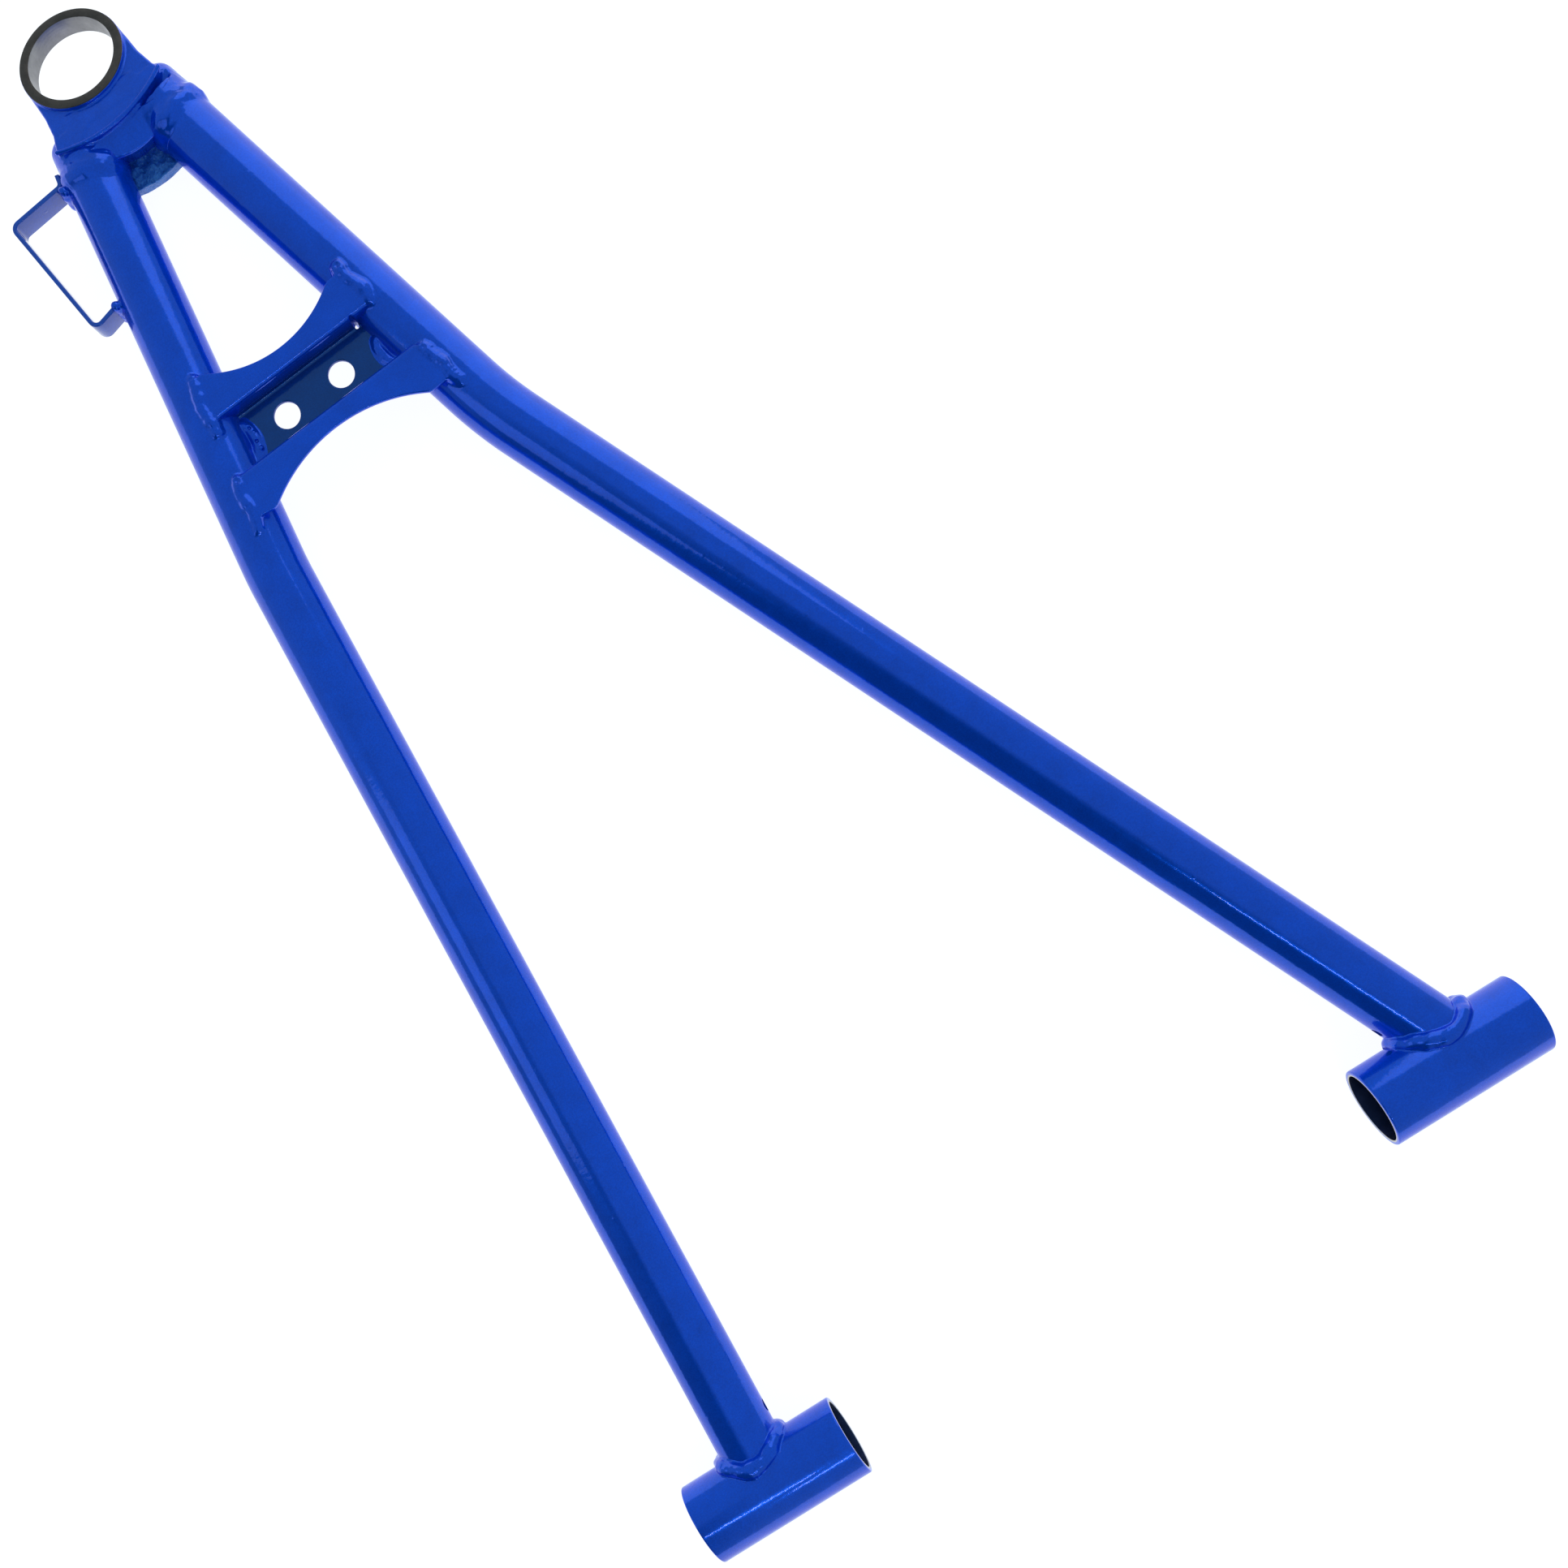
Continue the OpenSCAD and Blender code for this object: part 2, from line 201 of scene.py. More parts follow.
def sample(f, axes, block):
    """f on a grid, worked out finely only in the blocks that the surface passes through."""
    n = [len(a) for a in axes]
    step = axes[0][1] - axes[0][0]
    coarse = [a[0] + step * block * np.arange(len(a) // block + 2) for a in axes]
    c = f(np.stack(np.meshgrid(*coarse, indexing="ij"), -1))
    near = np.abs(c) < 1.9 * step * block
    hit = np.zeros([k - 1 for k in c.shape], bool)
    for i in (0, 1):
        for j in (0, 1):
            for k in (0, 1):
                hit |= near[i:i + hit.shape[0], j:j + hit.shape[1], k:k + hit.shape[2]]

    def spread(a):
        for axis in range(3):
            a = np.repeat(a, block, axis=axis)
        return a[:n[0], :n[1], :n[2]]

    v = spread(c[:-1, :-1, :-1]).copy()
    i, j, k = np.nonzero(spread(hit))
    v[i, j, k] = f(np.stack([axes[0][i], axes[1][j], axes[2][k]], -1))
    return v


def gradient(f, p, e=0.03):
    g = np.empty_like(p)
    for a in range(3):
        d = np.zeros(3)
        d[a] = e
        g[:, a] = (f(p + d) - f(p - d)) / (2 * e)
    return g


def settle(f, p, step, rounds=3):
    for _ in range(rounds):
        g = gradient(f, p)
        move = -(f(p) / np.maximum((g * g).sum(-1), 0.05))[:, None] * g
        size = np.linalg.norm(move, axis=-1, keepdims=True)
        p = p + move * np.minimum(1, 0.7 * step / np.maximum(size, 1e-9))
    return p


def skin(name, f, lo, hi, step):
    """A quad mesh on the surface where f is zero (surface nets, evened out and settled on it)."""
    step = step * COARSE
    axes = [np.arange(lo[a], hi[a] + step, step) for a in range(3)]
    v = sample(f, axes, 4)
    inside = v < 0
    for a in range(3):
        edge = [slice(None)] * 3
        for end in (0, -1):
            edge[a] = end
            inside[tuple(edge)] = False
    count = np.zeros([k - 1 for k in inside.shape], np.int8)
    for i in (0, 1):
        for j in (0, 1):
            for k in (0, 1):
                count += inside[i:i + count.shape[0], j:j + count.shape[1], k:k + count.shape[2]]
    crossed = (count > 0) & (count < 8)
    index = np.full(crossed.shape, -1)
    index[crossed] = np.arange(crossed.sum())
    cells = np.argwhere(crossed)
    p = np.array([a[0] for a in axes]) + (cells + 0.5) * step
    quads = []
    for a in range(3):
        b, c = (a + 1) % 3, (a + 2) % 3
        here = [slice(None)] * 3
        there = [slice(None)] * 3
        here[a], there[a] = slice(0, -1), slice(1, None)
        e = np.argwhere(inside[tuple(here)] != inside[tuple(there)])
        for side in (b, c):
            e = e[(e[:, side] > 0) & (e[:, side] < inside.shape[side] - 1)]
        start_in = inside[tuple(e.T)]
        sb, sc = np.zeros(3, int), np.zeros(3, int)
        sb[b], sc[c] = 1, 1
        q = np.stack([index[tuple(x.T)] for x in (e, e - sb, e - sb - sc, e - sc)], -1)
        q[~start_in] = q[~start_in][:, ::-1]
        quads.append(q)
    quads = np.concatenate(quads)
    p = settle(f, p, step)
    for _ in range(2):
        centre = p[quads].mean(1)
        total, number = np.zeros_like(p), np.zeros(len(p))
        for k in range(4):
            np.add.at(total, quads[:, k], centre)
            np.add.at(number, quads[:, k], 1)
        p = settle(f, 0.4 * p + 0.6 * total / np.maximum(number, 1)[:, None], step, 2)
    return new_object(name, p, quads)


def weld(name, surfaces, bead, lo, hi, step=0.35, blend=1.6):
    """A bead laid in a corner: it flows out onto the surfaces and ends just beneath them."""
    def f(p):
        base = surfaces(p)
        d = bead(p)
        flow = smin(base, d, blend) + 0.07 * np.clip(d - 0.8 * blend, 0, 3)
        return np.maximum(np.maximum(flow, d - 2.4 * blend), -(base + 0.9))
    return skin(name, f, lo, hi, step)


def lathe(name, profile, origin, x_axis, z_axis, steps=160):
    """A closed profile of (radius, height) turned about z_axis."""
    z_axis = unit(z_axis)
    x_axis = unit(np.array(x_axis) - z_axis * (np.array(x_axis) @ z_axis))
    y_axis = np.cross(z_axis, x_axis)
    a = np.linspace(0, 2 * math.pi, steps, endpoint=False)
    n = len(profile)
    verts, faces = [], []
    for t in a:
        out = math.cos(t) * x_axis + math.sin(t) * y_axis
        verts += [origin + r * out + h * z_axis for r, h in profile]
    for i in range(steps):
        here, there = i * n, (i + 1) % steps * n
        faces += [(here + j, here + (j + 1) % n, there + (j + 1) % n, there + j) for j in range(n)]
    return new_object(name, verts, faces)


def rounded(points, radius, steps=4):
    """A closed profile with every corner rounded by that radius or its own (a third number)."""
    out = []
    n = len(points)
    for i, point in enumerate(points):
        r = point[2] if len(point) > 2 else radius
        b = np.array(point[:2], float)
        a, c = np.array(points[i - 1][:2], float), np.array(points[(i + 1) % n][:2], float)
        u, w = unit(a - b), unit(c - b)
        half = math.acos(np.clip(u @ w, -1, 1)) / 2
        reach = r / math.tan(half) if half > 1e-3 else 0
        if r <= 0 or half > 1.56:
            out.append(tuple(b))
            continue
        for k in range(steps + 1):
            t = k / steps
            s = b + u * reach * (1 - t) ** 2 + w * reach * t ** 2
            out.append(tuple(s))
    return out


def auto_smooth(ob, degrees):
    me = ob.data
    me.polygons.foreach_set("use_smooth", [True] * len(me.polygons))
    me.set_sharp_from_angle(angle=math.radians(degrees))
    return ob


def cut(ob, tool):
    """Cuts the tool's solid out of ob and throws the tool away."""
    mod = ob.modifiers.new("cut", "BOOLEAN")
    mod.operation, mod.object, mod.solver = "DIFFERENCE", tool, "EXACT"
    bpy.context.view_layer.update()
    graph = bpy.context.evaluated_depsgraph_get()
    me = bpy.data.meshes.new_from_object(ob.evaluated_get(graph))
    ob.modifiers.clear()
    old = ob.data
    ob.data = me
    me.name = old.name
    bpy.data.meshes.remove(old)
    bpy.data.objects.remove(tool)
    return ob


# ---------------------------------------------------------------- the two legs
REAR = Leg(-3.0, 4.2, 450, 8.0)
FRONT = Leg(343.7, -23.1, 457, -14.5)
BEND_R = 190.0
BEND_STEPS = 24
DRAIN_Y, DRAIN_R = 31.0, 3.0
COPE_R = SLEEVE_R - 1.0


def sleeve_at(p, x):
    return np.sqrt(p[..., 1] ** 2 + p[..., 2] ** 2) - SLEEVE_R


def leg_route(leg, start):
    """Centreline of a leg from a distance outboard of its foot, through its drawn bend."""
    turn = math.acos(np.clip(leg.lo @ leg.up, -1, 1))
    reach = BEND_R * math.tan(turn / 2)
    side = unit(leg.up - leg.lo * (leg.up @ leg.lo))
    centre = leg.bend - leg.lo * reach + side * BEND_R
    lower_end = (leg.bend - leg.foot) @ leg.lo - reach
    route = [leg.foot + leg.lo * s for s in np.linspace(start / leg.lo[1], lower_end, 40)]
    for a in np.arange(1, BEND_STEPS) * turn / BEND_STEPS:
        route.append(centre + BEND_R * (math.sin(a) * leg.lo - math.cos(a) * side))
    route += [leg.bend + leg.up * s for s in np.linspace(reach, (leg.top - leg.bend) @ leg.up, 24)]
    return np.array(route)


def leg_tube(name, leg, inner_side):
    """A bent tube with its bore, drain hole and the cope that fits it to its sleeve."""
    route = leg_route(leg, 5.0)
    steps = 112
    tangent = np.gradient(route, axis=0)
    tangent /= np.linalg.norm(tangent, axis=1, keepdims=True)
    across = np.stack([tangent[:, 1], -tangent[:, 0], np.zeros(len(route))], -1)
    angle = np.linspace(0, 2 * math.pi, steps, endpoint=False)
    ring = np.stack([np.cos(angle), np.sin(angle)], -1)
    verts, faces = [], []
    for r in (TUBE_R, TUBE_BORE):
        for c, n in zip(route, across):
            verts += [c + r * (u * n + w * UP) for u, w in ring]
    inner = len(route) * steps
    last = inner - steps
    for i in range(0, last, steps):
        for j in range(steps):
            k = (j + 1) % steps
            quad = [i + j, i + k, i + steps + k, i + steps + j]
            faces.append(quad)
            faces.append([inner + quad[v] for v in (0, 3, 2, 1)])
    for j in range(steps):
        k = (j + 1) % steps
        faces.append([j, inner + j, inner + k, k])
        faces.append([last + j, last + k, inner + last + k, inner + last + j])
    ob = new_object(name, verts, faces)
    centre = leg.foot + leg.lo * DRAIN_Y / leg.lo[1]
    drain = [(0.001, 6), (DRAIN_R, 6), (DRAIN_R, 18), (0.001, 18)]
    cope = [(0.001, -32), (COPE_R, -32), (COPE_R, 32), (0.001, 32)]
    cut(ob, lathe("drain", drain, centre, UP, inner_side * square_to(leg.lo), 40))
    cut(ob, lathe("cope", cope, leg.foot, UP, RX, 120))
    return auto_smooth(ob, 40)


# ---------------------------------------------------------------- pivot sleeves
def pivot_sleeve(name, x):
    h = SLEEVE_LEN / 2
    rim = SLEEVE_BORE + 0.8
    corners = [(SLEEVE_BORE, -h), (rim, -h, 0), (SLEEVE_R, -h, 0.8),
               (SLEEVE_R, h, 0.8), (rim, h, 0), (SLEEVE_BORE, h)]
    return auto_smooth(lathe(name, rounded(corners, 0.35), x * RX, UP, RX, 192), 50)


# ---------------------------------------------------------------- sleeve welds
def sleeve_weld(name, leg, x, seed, laps):
    """A convex bead where leg and sleeve meet. Each lap is a thicker place: an angle, a spread and a size."""
    across = square_to(leg.lo)
    points, turns = [], np.linspace(-math.pi, math.pi, 97)
    for turn in turns:
        rim = leg.foot + TUBE_R * (math.cos(turn) * across + math.sin(turn) * UP)
        out = rim + leg.lo * (math.sqrt(SLEEVE_R ** 2 - rim[2] ** 2) - rim[1]) / leg.lo[1]
        normal = unit(unit(rim - leg.foot) + unit([0, out[1], out[2]]))
        points.append(out + 0.5 * normal)
    length = sum(np.linalg.norm(q - p) for p, q in zip(points[:-1], points[1:]))

    def radius(s):
        turn = (s / length * 2 - 1) * math.pi
        r = np.full(s.shape, 3.4)
        for centre, spread, size in laps:
            r = r + size * np.exp(-((turn - centre) / spread) ** 2)
        return r

    def surfaces(p):
        return np.minimum(leg.lower(p), sleeve_at(p, x))

    def bead(p):
        unevenness = 0.3 * ripple(p, 8.5, seed) + 0.09 * ripple(p, 3.2, seed + 10)
        return path_distance(p, points, radius) - unevenness

    lo = [leg.foot[0] - 26, 3, -19.6]
    hi = [leg.foot[0] + 26, 32, 19.6]
    return weld(name, surfaces, bead, lo, hi, 0.4, 0.7)


# ---------------------------------------------------------------- ball joint housing
# The neck and its lip are laid out seen along the ring's axis, from the ring's centre.
RY = np.cross(RING_AXIS, RX)
NECK = [(-23.9, 6), (-25.0, -6), (-24.6, -16), (-25.4, -26), (-28.6, -37), (-29, -50), (34, -50),
        (33.4, -33), (29.6, -24), (27.2, -14), (26.2, -4), (24.6, 6), (0, 12)]
NECK_TOP = -1.3
LIP_CENTRE, LIP_R = (-4.0, 17.0), 58.0
# Hollows between the lip and the ends of the stubs, seen from above: the floor's height, then the outline.
POCKETS = [
    (8.6, [(46.3, 654.2), (49.3, 650.3), (52.8, 647.1), (57.0, 645.1), (62.0, 644.5), (67.8, 646.0),
           (67.8, 652), (50, 660)]),
    (8.6, [(110.2, 657.5), (108.8, 653.2), (105.8, 649.8), (101.0, 647.5), (96.5, 646.4), (89.2, 647.6),
           (89, 654), (100, 664)]),
    (11.6, [(65.0, 646.2), (72.0, 644.7), (80.0, 644.9), (90.5, 647.2), (89, 652), (66, 652)]),
]


def ring_frame(p):
    q = p - RING_TOP
    return q @ RX, q @ RY, q @ RING_AXIS


def lip_distance(x, y):
    return np.hypot(x - LIP_CENTRE[0], y - LIP_CENTRE[1]) - LIP_R


def neck_field(p):
    x, y, z = ring_frame(p)
    outline = smax(polygon_distance(x, y, NECK), lip_distance(x, y), 1.0)
    slab = np.maximum(z - NECK_TOP, -RING_HEIGHT - z)
    plate = smax(outline + 0.8, slab + 0.8, 1.6)
    collar = smax(np.hypot(x, y) - RING_R, np.maximum(z + 0.28, -RING_HEIGHT - z), 0.3)
    return smin(plate, collar, 1.1)


def stub_field(p, leg, out):
    """A solid stub in line with a leg, from the leg's end to that distance past it."""
    along = (p - leg.top) @ leg.up
    return smax(leg.upper(p), np.maximum(along - out, -along - 1), 3.5)


def saddle_field(p):
    """The web of the forging, which fills the space between the stubs."""
    px, py, pz = p[..., 0], p[..., 1], p[..., 2]
    between = np.maximum((p - REAR.bend) @ -square_to(REAR.up), (p - FRONT.bend) @ square_to(FRONT.up))
    edge = 634.9 + ((px - 80.5) / 8) ** 2 + 0.34 * np.clip(9 - pz, 0, 12)
    top = 9.3 + 0.3 * np.clip(py - 635, 0, 13)
    block = smax(np.maximum(pz - top, -9.5 - pz), edge - py, 1.4)
    return np.maximum(smax(between, block, 1.0), py - 664)


def housing_field(p):
    x, y, z = ring_frame(p)
    stubs = np.minimum(stub_field(p, FRONT, 19.5), stub_field(p, REAR, 16.5))
    inner = smin(stubs, saddle_field(p), 2.4)
    lip = lip_distance(x, y)
    inner = np.where(lip < 0, np.maximum(inner, z + 2.0), inner)
    for floor, outline in POCKETS:
        hollow = smax(polygon_distance(p[..., 0], p[..., 1], outline), -lip, 1.2)
        inner = smax(inner, -smax(hollow, floor - p[..., 2], 2.0), 0.5)
    body = smin(neck_field(p), inner, 0.3)
    rim = smax(np.hypot(lip + 0.75, z + 1.8) - 0.95, polygon_distance(x, y, NECK) + 0.5, 0.8)
    body = smin(body, rim, 0.6)
    from_ring = np.clip((np.hypot(x, y) - RING_R - 1) / 6, 0, 1)
    rough = from_ring * np.where(lip < 1, 0.25, 1.0)
    body = body + rough * (0.14 * ripple(p, 11, 5) + 0.06 * ripple(p, 4, 6))
    return np.maximum(body, JOINT_R + 1.2 - np.hypot(x, y))


def ring_facing():
    """The machined steel faces of the ring: its top, its chamfers and its bore."""
    low = -RING_HEIGHT
    profile = [
        (JOINT_R, -0.4), (JOINT_R + 0.1, -0.1), (JOINT_R + 0.35, 0.0),
        (RING_R - 0.45, 0.0), (RING_R - 0.25, -0.06), (RING_R - 0.15, -0.3), (RING_R - 0.6, -0.9),
        (JOINT_R + 1.5, -0.8), (JOINT_R + 1.5, low + 0.7), (JOINT_R + 1.8, low + 0.3),
        (JOINT_R + 1.8, low - 0.02), (JOINT_R + 1.2, low - 0.02), (JOINT_R, low + 1.1)]
    return auto_smooth(lathe("ring_machined_faces", profile, RING_TOP, RX, RING_AXIS, 240), 28)


# ---------------------------------------------------------------- crotch gusset
def gusset_field(p):
    px, py, pz = p[..., 0], p[..., 1], p[..., 2]
    edge = 626.2 + ((px - 79.2) / 9.9) ** 2
    plan = smax(np.maximum(edge - py, py - 641), -np.minimum(FRONT.upper(p), REAR.upper(p)) - 0.8, 0.5)
    rough = 0.42 * ripple(p, 4.6, 11) + 0.3 * np.abs(ripple(p, 2.6, 12))
    return smax(plan + 0.2 * rough, np.maximum(pz + 3.1 + rough, -8.5 - pz), 0.5)


# ---------------------------------------------------------------- cross channel
CU = np.array([math.cos(CHANNEL_TURN), math.sin(CHANNEL_TURN), 0.0])
CV = np.array([-CU[1], CU[0], 0.0])
# The blank's outline before the scallops: u along the channel, v across it, from its centre.
PLAN = [(37.3, 31.2), (40.4, 24.5), (43.9, 15.8), (43.0, 12.3), (47.0, -12.4), (48.6, -15.6), (51.2, -20.2),
        (53.4, -34.0), (41.5, -34.3), (-42.6, -33.7), (-51.0, -32.6), (-47.4, -16.6), (-45.2, -12.6),
        (-41.2, 12.4), (-42.1, 15.9), (-40.4, 32.0), (-33.0, 32.2), (33.0, 31.2)]
# A scallop's centre on the v axis, and its radius.
SCALLOPS = [(76.3, 55.6), (-95.5, 74.0)]
WEB_HOLE_R = MOUNT["web_hole_rear"]["dims"]["r_mm"] - 0.05


def hat_section(v, z):
    """Distance to the middle of the sheet in the hat section."""
    half = SHEET / 2
    corner, bend = 1.2 + half, 3.0 - half
    av = np.abs(v)
    runs = [((0, WEB_TOP - half), (WALL - 1.2, WEB_TOP - half)),
            ((WALL + half, WEB_TOP + 1.2), (WALL + half, FLANGE_TOP - 3.0)),
            ((WALL + 3.0, FLANGE_TOP - half), (60.0, FLANGE_TOP - half))]
    d = np.full(v.shape, 1e9)
    for (ax, ay), (bx, by) in runs:
        t = np.clip(((av - ax) * (bx - ax) + (z - ay) * (by - ay)) / ((bx - ax) ** 2 + (by - ay) ** 2), 0, 1)
        d = np.minimum(d, np.hypot(av - ax - t * (bx - ax), z - ay - t * (by - ay)))
    bends = [(WALL - 1.2, WEB_TOP + 1.2, corner, 1, -1), (WALL + 3.0, FLANGE_TOP - 3.0, bend, -1, 1)]
    for cx, cz, r, sx, sz in bends:
        ux, uz = av - cx, z - cz
        on_arc = (ux * sx >= 0) & (uz * sz >= 0)
        d = np.minimum(d, np.where(on_arc, np.abs(np.hypot(ux, uz) - r), 1e9))
    return d


def channel_plan(u, v):
    plan = polygon_distance(u, v, PLAN)
    for centre, radius in SCALLOPS:
        plan = smax(plan, radius - np.hypot(u, v - centre), 1.0)
    return plan


def channel_field(p):
    q = p - CHANNEL
    u, v, z = q @ CU, q @ CV, q[..., 2]
    sheet = hat_section(v, z) - SHEET / 2
    d = smax(sheet, channel_plan(u, v), 0.7)
    for s in (-1, 1):
        d = smax(d, WEB_HOLE_R - np.hypot(u - s * 14.75, v), 0.5)
    d = smax(d, 1.0 - np.hypot(u - 32.2, v - 12.4), 0.4)
    legs = np.minimum(FRONT.upper(p), REAR.upper(p))
    return np.maximum(d, -(legs + 1.0))


# ---------------------------------------------------------------- welds at the channel
def flange_weld(name, leg, near, y0, y1, seed, lumps):
    """A heavy bead over a flange's end and down onto the tube, with a crater where it stopped."""
    points = []
    for k in range(7):
        side = near * (2.9 + 0.7 * math.sin(1.3 * k + seed))
        points.append(leg.at(y0 + (y1 - y0) * k / 6, side, 13.0 - 0.1 * abs(k - 3) ** 1.5))
    length = sum(np.linalg.norm(b - a) for a, b in zip(points[:-1], points[1:]))

    def radius(s):
        r = np.full(s.shape, 3.1)
        for centre, spread, size in lumps:
            r = r + size * np.exp(-((s - centre * length) / spread) ** 2)
        return r

    crater = points[0] + 4.6 * UP

    def surfaces(p):
        return np.minimum(leg.upper(p), channel_field(p))

    def bead(p):
        unevenness = 0.22 * ripple(p, 8.0, seed) + 0.06 * ripple(p, 3.0, seed + 5)
        d = path_distance(p, points, radius) - unevenness
        return smax(d, 1.6 - np.linalg.norm(p - crater, axis=-1), 0.8)

    lo = np.min(points, axis=0) - 8
    hi = np.max(points, axis=0) + 8
    return weld(name, surfaces, bead, lo, hi, 0.35, 1.1)


def web_weld(name, leg, side, v0, v1, seed, lumps):
    """A pool of weld in the corner between the web and a leg; lumps are droplets, or pits where negative."""
    inner = math.sqrt(TUBE_R ** 2 - WEB_TOP ** 2)
    points = []
    for k in range(7):
        y = CHANNEL[1] + v0 + (v1 - v0) * k / 6
        bulge = 1.0 - ((k - 3) / 3.5) ** 2
        points.append(leg.at(y, side * (inner - 0.6 + 3.4 * bulge), WEB_TOP - 1.4))

    def surfaces(p):
        return np.minimum(leg.upper(p), channel_field(p))

    def bead(p):
        d = path_distance(p, points, lambda s: 3.1 + 0 * s) - 0.15 * ripple(p, 6.0, seed)
        for c, r in lumps:
            q = leg.at(CHANNEL[1] + c[0], side * (inner + c[1]), WEB_TOP + c[2])
            d = smin(d, ball(p, q, r), 0.5) if r > 0 else smax(d, -ball(p, q, -r), 0.5)
        return d

    lo = np.min(points, axis=0) - 8
    hi = np.max(points, axis=0) + 8
    return weld(name, surfaces, bead, lo, hi, 0.33, 0.9)


# ---------------------------------------------------------------- welds at the housing
def housing_weld(name, leg, seed, lobes):
    """A bead right round a leg where it butts against its stub, fuller at the lobes."""
    across = square_to(leg.up)

    def bead(p):
        q = p - leg.top
        radial = leg.upper(p)
        turn = np.arctan2(q[..., 2], q @ across)
        along = q @ leg.up + 1.4 - 1.1 * np.sin(turn * 2 + seed)
        r = 2.6 + 0.26 * ripple(p, 8, seed) + 0.07 * ripple(p, 3.5, seed + 7)
        for centre, spread, size in lobes:
            gap = (turn - centre + math.pi) % (2 * math.pi) - math.pi
            r = r + size * np.exp(-(gap / spread) ** 2)
        return np.hypot(radial + 1.4, along * 0.62) - r

    lo = leg.top - np.array([22, 11, 20])
    hi = leg.top + np.array([22, 11, 20])
    return weld(name, leg.upper, bead, lo, hi, 0.4)


# ---------------------------------------------------------------- hose loop
def fillet_route(points, radii, steps=8):
    """The points joined by straight runs, with an arc of its own radius at each inner point."""
    out = [np.array(points[0], float)]
    for i in range(1, len(points) - 1):
        a, b, c = (np.array(points[i + k], float) for k in (-1, 0, 1))
        u, w = unit(a - b), unit(c - b)
        half = math.acos(np.clip(u @ w, -1, 1)) / 2
        reach = radii[i - 1] / math.tan(half)
        middle = b + unit(u + w) * radii[i - 1] / math.sin(half)
        s, e = b + u * reach - middle, b + w * reach - middle
        angle = math.acos(np.clip(unit(s) @ unit(e), -1, 1))
        for k in range(steps + 1):
            t = k / steps
            v = (math.sin((1 - t) * angle) * s + math.sin(t * angle) * e) / math.sin(angle)
            out.append(middle + v)
    out.append(np.array(points[-1], float))
    return np.array(out)


def strap(name, route, width, thick):
    """A flat strap with softened edges, swept along a route in the plane of the legs."""
    half, high = thick / 2, width / 2
    section = rounded([(-half, -high), (half, -high), (half, high), (-half, high)], 0.55)
    t = np.gradient(route, axis=0)
    t /= np.linalg.norm(t, axis=1, keepdims=True)
    side = np.stack([t[:, 1], -t[:, 0]], -1)
    n = len(section)
    verts = [[r[0] + s[0] * a, r[1] + s[1] * a, z] for r, s in zip(route, side) for a, z in section]
    last = (len(route) - 1) * n
    faces = []
    for i in range(0, last, n):
        faces += [(i + j, i + (j + 1) % n, i + n + (j + 1) % n, i + n + j) for j in range(n)]
    faces += [range(n - 1, -1, -1), range(last, last + n)]
    return auto_smooth(new_object(name, verts, faces), 50)


def hose_loop():
    side = np.array([REAR.up[1], -REAR.up[0]])
    tab = REAR.at(646.2, -TUBE_R - 0.5)[:2]
    tab_low = REAR.at(641.3, -TUBE_R - 0.8)[:2]
    foot = REAR.at(584.0, -TUBE_R + 0.4)[:2]
    points = [tab, tab_low, (13.9, 640.6), (21.2, 582.4), foot]
    return strap("hose_loop_strap", fillet_route(points, [2.4, 3.2, 3.4]), 12.5, 2.0)


def loop_weld(name, y, seed, reach):
    points = [REAR.at(y, -TUBE_R - 0.3, z) for z in (-6.4, -3.2, 0, 3.2, 6.4)]

    def bead(p):
        unevenness = 0.25 * ripple(p, 5, seed) + 0.06 * ripple(p, 2.6, seed + 3)
        return path_distance(p, points, lambda s: reach + 0 * s) - unevenness

    lo = np.min(points, axis=0) - 7
    hi = np.max(points, axis=0) + 7
    return weld(name, REAR.upper, bead, lo, hi, 0.35, 1.5)


# ---------------------------------------------------------------- materials
def tree(name):
    mat = bpy.data.materials.new(name)
    mat.use_nodes = True
    nt = mat.node_tree
    bsdf = nt.nodes["Principled BSDF"]
    return mat, nt, bsdf


def node(nt, kind, **values):
    n = nt.nodes.new(kind)
    for key, value in values.items():
        if key in n.inputs:
            n.inputs[key].default_value = value
        else:
            setattr(n, key, value)
    return n


def mapped_noise(nt, scale, detail=3.0, rough=0.5):
    coord = node(nt, "ShaderNodeTexCoord")
    n = node(nt, "ShaderNodeTexNoise", Scale=scale, Detail=detail, Roughness=rough, Distortion=0.0)
    nt.links.new(coord.outputs["Object"], n.inputs["Vector"])
    return n


def ramp(nt, source, stops):
    r = nt.nodes.new("ShaderNodeValToRGB")
    els = r.color_ramp.elements
    els[0].position, els[0].color = stops[0][0], (*stops[0][1], 1)
    els[1].position, els[1].color = stops[-1][0], (*stops[-1][1], 1)
    for pos, col in stops[1:-1]:
        e = els.new(pos)
        e.color = (*col, 1)
    nt.links.new(source, r.inputs["Fac"])
    return r


def share_between(nt, source, low, high):
    """0 where the source is low or less, 1 where it is high or more."""
    share = node(nt, "ShaderNodeMapRange")
    share.inputs["From Min"].default_value = low
    share.inputs["From Max"].default_value = high
    nt.links.new(source, share.inputs["Value"])
    return share.outputs["Result"]


def mixed(nt, blend, amount, first, second):
    m = nt.nodes.new("ShaderNodeMix")
    m.data_type, m.blend_type = "RGBA", blend
    m.inputs["Factor"].default_value = amount
    nt.links.new(first, m.inputs[6])
    nt.links.new(second, m.inputs[7])
    return m.outputs[2]


def bump(nt, source, strength, distance, below=None):
    b = node(nt, "ShaderNodeBump", Strength=strength, Distance=distance)
    nt.links.new(source, b.inputs["Height"])
    if below is not None:
        nt.links.new(below.outputs["Normal"], b.inputs["Normal"])
    return b


